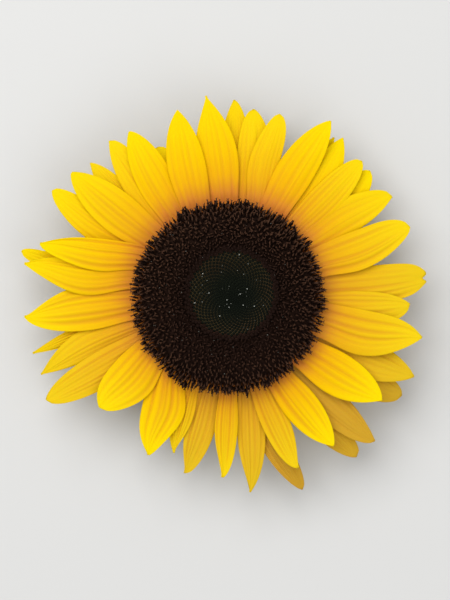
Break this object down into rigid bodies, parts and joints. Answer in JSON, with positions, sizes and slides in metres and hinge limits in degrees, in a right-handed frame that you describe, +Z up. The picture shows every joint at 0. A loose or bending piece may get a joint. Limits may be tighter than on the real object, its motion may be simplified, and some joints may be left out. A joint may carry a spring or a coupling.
{
  "type": "sunflower",
  "caption": "Cut sunflower head lying face up on a short stem stub, with layered yellow ray petals round a raised dark disc of florets and green bracts behind.",
  "frame": {"origin": "on the flower's axis, at the surface that the cut end of the stem rests on", "axes": "+Z up along the flower's axis, out of its face; +Y towards the petals that are at the top of the picture; +X to the picture's right"},
  "size_m": [0.1638, 0.1617, 0.0393],
  "materials": {
    "stem": "matte",
    "receptacle_and_bracts": "matte",
    "ray_petals": "satin",
    "disc_florets": "matte",
    "disc_buds": "satin"
  },
  "bodies": {
    "root": {"stem": "stem", "receptacle_and_bracts": "receptacle_and_bracts", "ray_petals": "ray_petals", "disc_florets": "disc_florets", "disc_buds": "disc_buds"}
  },
  "joints": []
}
